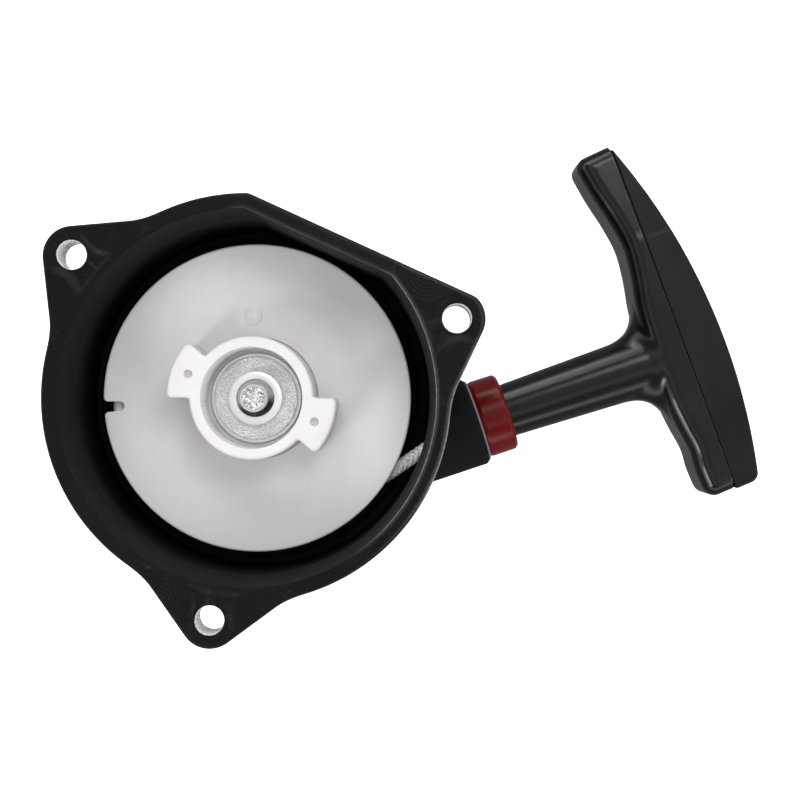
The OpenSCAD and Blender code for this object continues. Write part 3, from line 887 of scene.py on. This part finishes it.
def screw_piece():
    """A flange-head screw with a domed head and a six-lobe socket."""
    lobe = 0.5 + 0.5 * np.cos(6 * angles(360))
    low, seat, top = screw_low[2], washer_high[2], screw_high[2]
    flange_r, moat_r, head_r = 6.6, 4.45, 3.45
    profile = [(0, low), (2.4, low)]
    profile += [(2.7 if k % 4 < 2 else 3.0, z) for k, z in enumerate(np.arange(low + 0.5, seat - 1.0, 0.25))]
    profile += [
        (3.0, seat), (flange_r - 0.25, seat), (flange_r, seat + 0.25), (flange_r, seat + 1.0),
        (flange_r - 0.1, seat + 1.2), (flange_r - 0.35, seat + 1.32), (flange_r - 0.9, seat + 1.4),
        (moat_r + 0.6, seat + 1.42), (moat_r + 0.2, seat + 1.36), (moat_r, seat + 1.15), (moat_r - 0.1, seat + 0.35),
        (head_r + 0.05, seat + 0.3), (head_r, top - 0.5), (head_r - 0.08, top - 0.2), (head_r - 0.22, top - 0.04),
        (head_r - 0.4, top), (2.45 + 0.45 * lobe, top - 0.05), (2.3 + 0.45 * lobe, top - 0.25),
        (1.95 + 0.5 * lobe, top - 0.9), (1.6 + 0.4 * lobe, top - 1.5), (1.35 + 0.2 * lobe, top - 1.75),
        (0.95, top - 1.8), (0.85, top - 1.3), (0.7, top - 1.15), (0.4, top - 1.2), (0, top - 1.3),
    ]
    obj = outward(lathe("torx_screw", profile, 360, closed=False))
    crisp(obj, 35)
    place(obj, "housing", "screw", "screw_steel", "retaining_screw")


def guide_piece():
    """The red guide: a bush in the boss with a collar outside it, flared where the rope comes in."""
    inside = guide_low[0]
    profile = [(inside, 7.5), (BOSS_X, 7.5), (BOSS_X + 0.02, 9.4), (BOSS_X + 1.0, 9.7), (COLLAR_X - 0.7, 9.62),
               (COLLAR_X, 9.0), (COLLAR_X, 7.2), (COLLAR_X - 0.3, 6.9), (49.6, 6.9), (49.6, 2.4),
               (45.6, 2.4), (inside, 5.0)]
    radii = [0.3, 0.1, 0.2, 0.3, 0.35, 0.3, 0.2, 0.2, 0.2, 0.4, 3.0, 0.5]
    obj = outward(lathe("red_guide", rounded(profile, radii, 5, closed=True), 160, ring=outlet_ring))
    crisp(obj)
    place(obj, "housing", "red", "red_plastic", "rope_guide")


# --- rope

def frames_along(path):
    """Two directions across a path at each of its points, turning as little as they can."""
    ahead = np.gradient(path, axis=0)
    ahead /= np.linalg.norm(ahead, axis=1)[:, None]
    side = np.cross(ahead[0], (0, 0, 1))
    side /= np.linalg.norm(side)
    sides = []
    for a in ahead:
        side = side - a * (side @ a)
        side /= np.linalg.norm(side)
        sides.append(side)
    sides = np.array(sides)
    return sides, np.cross(ahead, sides)


def tube(path, radius, sides):
    """Rings of points round a path."""
    across, up = frames_along(path)
    turn = angles(sides)
    radius = radius + np.zeros(len(path))
    spoke = across[:, None] * np.cos(turn)[None, :, None] + up[:, None] * np.sin(turn)[None, :, None]
    return path[:, None] + radius[:, None, None] * spoke


def joined(name, parts):
    """One mesh object out of several ring grids, each closed at its ends by a fan."""
    points, faces, base = [], [], 0
    for rings in parts:
        count, sides = rings.shape[:2]
        points.append(rings.reshape(-1, 3))
        points.append(rings[[0, -1]].mean(axis=1))
        first, last = base + count * sides, base + count * sides + 1
        for i in range(count - 1):
            for k in range(sides):
                m = (k + 1) % sides
                a, b = base + i * sides, base + (i + 1) * sides
                faces.append([a + k, b + k, b + m, a + m])
        end = base + (count - 1) * sides
        for k in range(sides):
            m = (k + 1) % sides
            faces.append([first, base + k, base + m])
            faces.append([last, end + m, end + k])
        base += count * sides + 2
    return mesh_object(name, np.concatenate(points), faces)


def braid(name, path, strands=6, pitch=9.0, thickness=0.52, weave=0.18):
    """A braided rope along a path: strands of two hands that pass over and under each other."""
    path = np.asarray(path, float)
    lengths = np.concatenate([[0], np.cumsum(np.linalg.norm(np.diff(path, axis=0), axis=1))])
    along = np.linspace(0, lengths[-1], int(lengths[-1] / 0.18))
    centre = np.stack([np.interp(along, lengths, path[:, i]) for i in range(3)], axis=1)
    across, up = frames_along(centre)
    turn = 2 * pi * along / pitch
    parts = [tube(centre, ROPE_R - 0.75, 12)]
    for hand, k in product((1, -1), range(strands)):
        angle = hand * turn + 2 * pi * k / strands
        reach = ROPE_R - thickness - weave + weave * hand * np.cos(strands * turn)
        line = centre + reach[:, None] * (across * np.cos(angle)[:, None] + up * np.sin(angle)[:, None])
        parts.append(tube(line, thickness, 8))
    return joined(name, parts)


def rope_pieces():
    """The rope on the reel, on its way to the guide, and through the guide and handle to its knot."""
    throat = np.array([44.8, OUTLET_Y, OUTLET_Z])
    turn = radians(-74.3)
    reach = 33.75
    tangent = np.array([reach * cos(turn), reach * sin(turn), OUTLET_Z])
    heading = (throat - tangent) / np.linalg.norm(throat - tangent)
    way = [tangent + heading * s for s in np.linspace(9.0, np.linalg.norm(throat - tangent) - 2.5, 24)]
    before, after = throat - heading * 2.5, throat + [2.5, 0, 0]
    for t in np.linspace(0.1, 1, 10):
        way.append((1 - t) ** 2 * before + 2 * t * (1 - t) * throat + t * t * after)
    way.append(throat + [3.4, 0, 0])
    place(braid("rope_to_guide", way), "housing", "rope", "rope", "rope_run")

    # four turns on the drum, two side by side in each of two layers
    groove = (coil_low[2] + coil_high[2]) / 2
    drum = 28.5
    parts = []
    a = np.linspace(0, 2 * pi, 181)
    for layer, side in product((0, 1), (-1, 1)):
        radius = drum + (2 * layer + 1) * ROPE_R + 0.7 * layer
        wobble = 0.12 * np.sin(3 * a + layer + side)
        path = ring_at(a, radius, groove + side * ROPE_R + wobble)
        parts.append(tube(path, ROPE_R * (1 + 0.02 * np.sin(120 * a)), 20))
    place(joined("rope_on_reel", parts), "reel", "rope", "rope", "rope_coil")

    # the rope that is drawn out: it stretches between the guide and the handle's stem
    start, end = throat[0] + 2.6, pull_high[0]
    path = np.stack([np.linspace(start, end, 260), np.full(260, OUTLET_Y), np.full(260, OUTLET_Z)], axis=1)
    line = joined("rope_line", [tube(path, ROPE_R - 0.02, 40)])
    line.data.materials.append(LOOKS["rope_line"])
    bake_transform(line)
    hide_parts("rope_pull")


# --- handle

GRIP_BACK_R, GRIP_BACK_X, GRIP_BACK_Y = 155.0, cap_high[0], -28.0
SEAM_X, SEAM_LEAN = 102.1, 0.032
STEM_R, STEM_WIDEN = 6.4, 0.029
UPPER_STEP_Y, LOWER_STEP_Y = 6.5, -32.3

# Points (y, x) on the grip's inner edge, from the lower tip to the upper tip
INNER_EDGE = ((-58, 97.0), (-51, 96.4), (-46, 96.55), (-40, 95.5), (-34, 94.7), (-20, 94.8), (-9, 95.05),
              (0, 96.35), (6.5, 96.7), (13, 95.6), (21, 93.5), (31, 91.5))


def inner_edge(y):
    """x of the grip's inner edge for y, and its slope, on a smooth curve through INNER_EDGE."""
    knots = np.array(INNER_EDGE)
    slopes = np.gradient(knots[:, 1], knots[:, 0])
    at = np.clip(np.searchsorted(knots[:, 0], y) - 1, 0, len(knots) - 2)
    length = knots[at + 1, 0] - knots[at, 0]
    t = np.clip((y - knots[at, 0]) / length, 0, 1)
    x0, x1, m0, m1 = knots[at, 1], knots[at + 1, 1], slopes[at] * length, slopes[at + 1] * length
    x = ((2 * t ** 3 - 3 * t ** 2 + 1) * x0 + (t ** 3 - 2 * t ** 2 + t) * m0
         + (3 * t ** 2 - 2 * t ** 3) * x1 + (t ** 3 - t ** 2) * m1)
    slope = ((6 * t ** 2 - 6 * t) * (x0 - x1) + (3 * t ** 2 - 4 * t + 1) * m0 + (3 * t ** 2 - 2 * t) * m1) / length
    return x, slope


def past_upper_tip(x, y):
    return (y - 30.4 - 0.12 * (x - 94.7)) / hypot(1, 0.12)


def past_lower_tip(x, y):
    return (-58.3 + 0.08 * (x - 100) - y) / hypot(1, 0.08)


def past_seam(x, y):
    """Distance outward from the plane where the grip's two halves meet."""
    return (x - SEAM_X + SEAM_LEAN * y) / hypot(1, SEAM_LEAN)


def past_face(y, z, drop, run):
    """Distance past the grip's upper or lower face. Each arm drops a little over a short run, then
    slopes to its tip."""
    upper = np.maximum(y - UPPER_STEP_Y, 0)
    lower = np.maximum(LOWER_STEP_Y - y, 0)
    step = drop * smooth_step(0, run, upper) + 0.5 * drop * smooth_step(0, run, lower)
    return np.abs(z - OUTLET_Z) - (8.45 - step - 0.022 * upper - 0.02 * lower)


def grip_field(x, y, z):
    """The handle's inner half with its stem."""
    off_axis = np.hypot(y - OUTLET_Y, z - OUTLET_Z)
    stem_r = STEM_R + STEM_WIDEN * (x - STEM_X)
    edge, slope = inner_edge(y)
    past_inner = (edge - x) / np.sqrt(1 + slope ** 2)
    outline = round_max(round_max(past_inner, past_upper_tip(x, y), 3.0), past_lower_tip(x, y), 3.0)
    bar = round_max(outline, past_face(y, z, 0.12, 2.6), 3.7)
    stem = smooth_max(smooth_max(off_axis - stem_r, STEM_X - x, 0.8), x - 97, 2.0)
    fillet = 1.6 + 7.4 * smooth_step(8.2, 2.0, np.abs(z - OUTLET_Z))
    body = round_max(smooth_min(bar, stem, fillet), 0.03 + past_seam(x, y), 0.35)
    bore = np.maximum(off_axis - 2.3, x - 94)
    pocket = np.maximum(off_axis - 5.2, 92.8 - x)
    return smooth_max(body, -np.minimum(bore, pocket), 0.3)


def cap_field(x, y, z):
    """The handle's outer half, from the parting line to its curved back."""
    past_back = np.hypot(x - GRIP_BACK_X + GRIP_BACK_R, y - GRIP_BACK_Y) - GRIP_BACK_R
    outline = round_max(round_max(past_back, past_upper_tip(x, y), 0.5), past_lower_tip(x, y), 1.8)
    drop = 0.1 + 0.2 * smooth_step(6.0, 0.0, past_seam(x, y))
    return round_max(round_max(outline, past_face(y, z, drop, 0.9), 0.8), 0.06 - past_seam(x, y), 0.35)


def handle_pieces():
    grip = surface_of("t_grip", grip_field, grip_low - [0, 1, 1], grip_high + [1, 2, 1], (0.26, 0.5, 0.26))
    place(grip, "handle", "grip", "grip_plastic", "handle_grip")
    cap = surface_of("grip_cap", cap_field, cap_low - [1, 1, 1], cap_high + [1, 2, 1], (0.26, 0.4, 0.26))
    place(cap, "handle", "cap", "cap_plastic", "handle_cap")


# --- CAD nodes that stay

for node, look in (("post_insert", "brass"), ("spring_case", "sheet"), ("main_spring", "spring"),
                   ("spring_cover", "sheet"), ("cover_screws", "dark"), ("damper_spring", "spring"),
                   ("reel_knot", "rope"), ("handle_knot", "rope"), ("knot_washer", "smooth")):
    slots = frame["nodes"][node].data.materials
    slots.clear()
    slots.append(LOOKS[look])


# --- stage, lights, camera

VIEW_X, VIEW_Y = 33.2, -11.6
LAMP_DISTANCE = 700


def softbox(name, azimuth, zenith, size, radiance):
    """A soft square lamp that looks at the part. Angles in degrees, lengths in millimetres."""
    data = bpy.data.lights.new(name, "AREA")
    data.shape = "SQUARE"
    data.size = size * MM
    data.energy = radiance * pi * data.size ** 2
    lamp = in_scene(name, data)
    a, z = radians(azimuth), radians(zenith)
    toward = Vector((sin(z) * cos(a), sin(z) * sin(a), cos(z)))
    lamp.location = (Vector((VIEW_X, VIEW_Y, -20.0)) + toward * LAMP_DISTANCE) * MM
    lamp.rotation_euler = toward.to_track_quat("Z", "Y").to_euler()


def set_stage():
    """The floor, the lamps, and a dim world whose bands of grey the black plastics mirror."""
    reach = 3000
    floor = mesh_object("floor", [(-reach, -reach, BACK_Z), (reach, -reach, BACK_Z), (reach, reach, BACK_Z),
                                  (-reach, reach, BACK_Z)], [(0, 1, 2, 3)])
    look = Look("pale_floor", Roughness=0.8, Specular_IOR_Level=0.1, Emission_Strength=0.75,
                Emission_Color=(1, 1, 1, 1))
    look.set("Base Color", look.colours(look.noise(60, 2, 0.5), (0.0, grey(0.88)), (1.0, grey(0.9))))
    floor.data.materials.append(look.material)
    floor.visible_glossy = False
    world = bpy.data.worlds.new("studio")
    world.use_nodes = True
    tree = world.node_tree
    parts = tree.nodes.new("ShaderNodeSeparateXYZ")
    tree.links.new(tree.nodes.new("ShaderNodeTexCoord").outputs["Generated"], parts.inputs[0])
    dome = tree.nodes.new("ShaderNodeValToRGB")
    ramp = dome.color_ramp
    for at, level in ((0.0, 0.08), (0.1, 0.1), (0.3, 1.0), (0.5, 0.12), (0.7, 0.06), (0.8, 0.1), (0.9, 0.4),
                      (0.97, 0.19)):
        ramp.elements.new(at).color = (*grey(level), 1)
    ramp.elements.remove(ramp.elements[0])
    ramp.elements.remove(ramp.elements[-1])
    tree.links.new(parts.outputs[2], dome.inputs["Fac"])
    tree.links.new(dome.outputs["Color"], tree.nodes["Background"].inputs["Color"])
    tree.nodes["Background"].inputs["Strength"].default_value = 3.3
    bpy.context.scene.world = world
    bpy.context.scene.view_settings.view_transform = "Standard"
    softbox("back", 90, 60, 340, 3.5)
    softbox("right", 315, 60, 340, 3.2)
    softbox("left", 203, 55, 172, 14.0)
    softbox("high", 45, 35, 300, 4.6)


def set_camera():
    """Straight down over the part, turned so that the rope runs up to the right."""
    height, turn, view_width = 267.0, 18.45, 182.3
    data = bpy.data.cameras.new("camera")
    data.sensor_width = 36
    data.lens = 36 * height / view_width
    data.clip_start = 0.01
    camera = in_scene("camera", data)
    camera.location = Vector((VIEW_X, VIEW_Y, height)) * MM
    camera.rotation_euler = (0, 0, -radians(turn))
    bpy.context.scene.camera = camera


set_camera()
housing_piece()
reel_piece()
cam_piece()
washer_pieces()
screw_piece()
guide_piece()
rope_pieces()
handle_pieces()
set_stage()
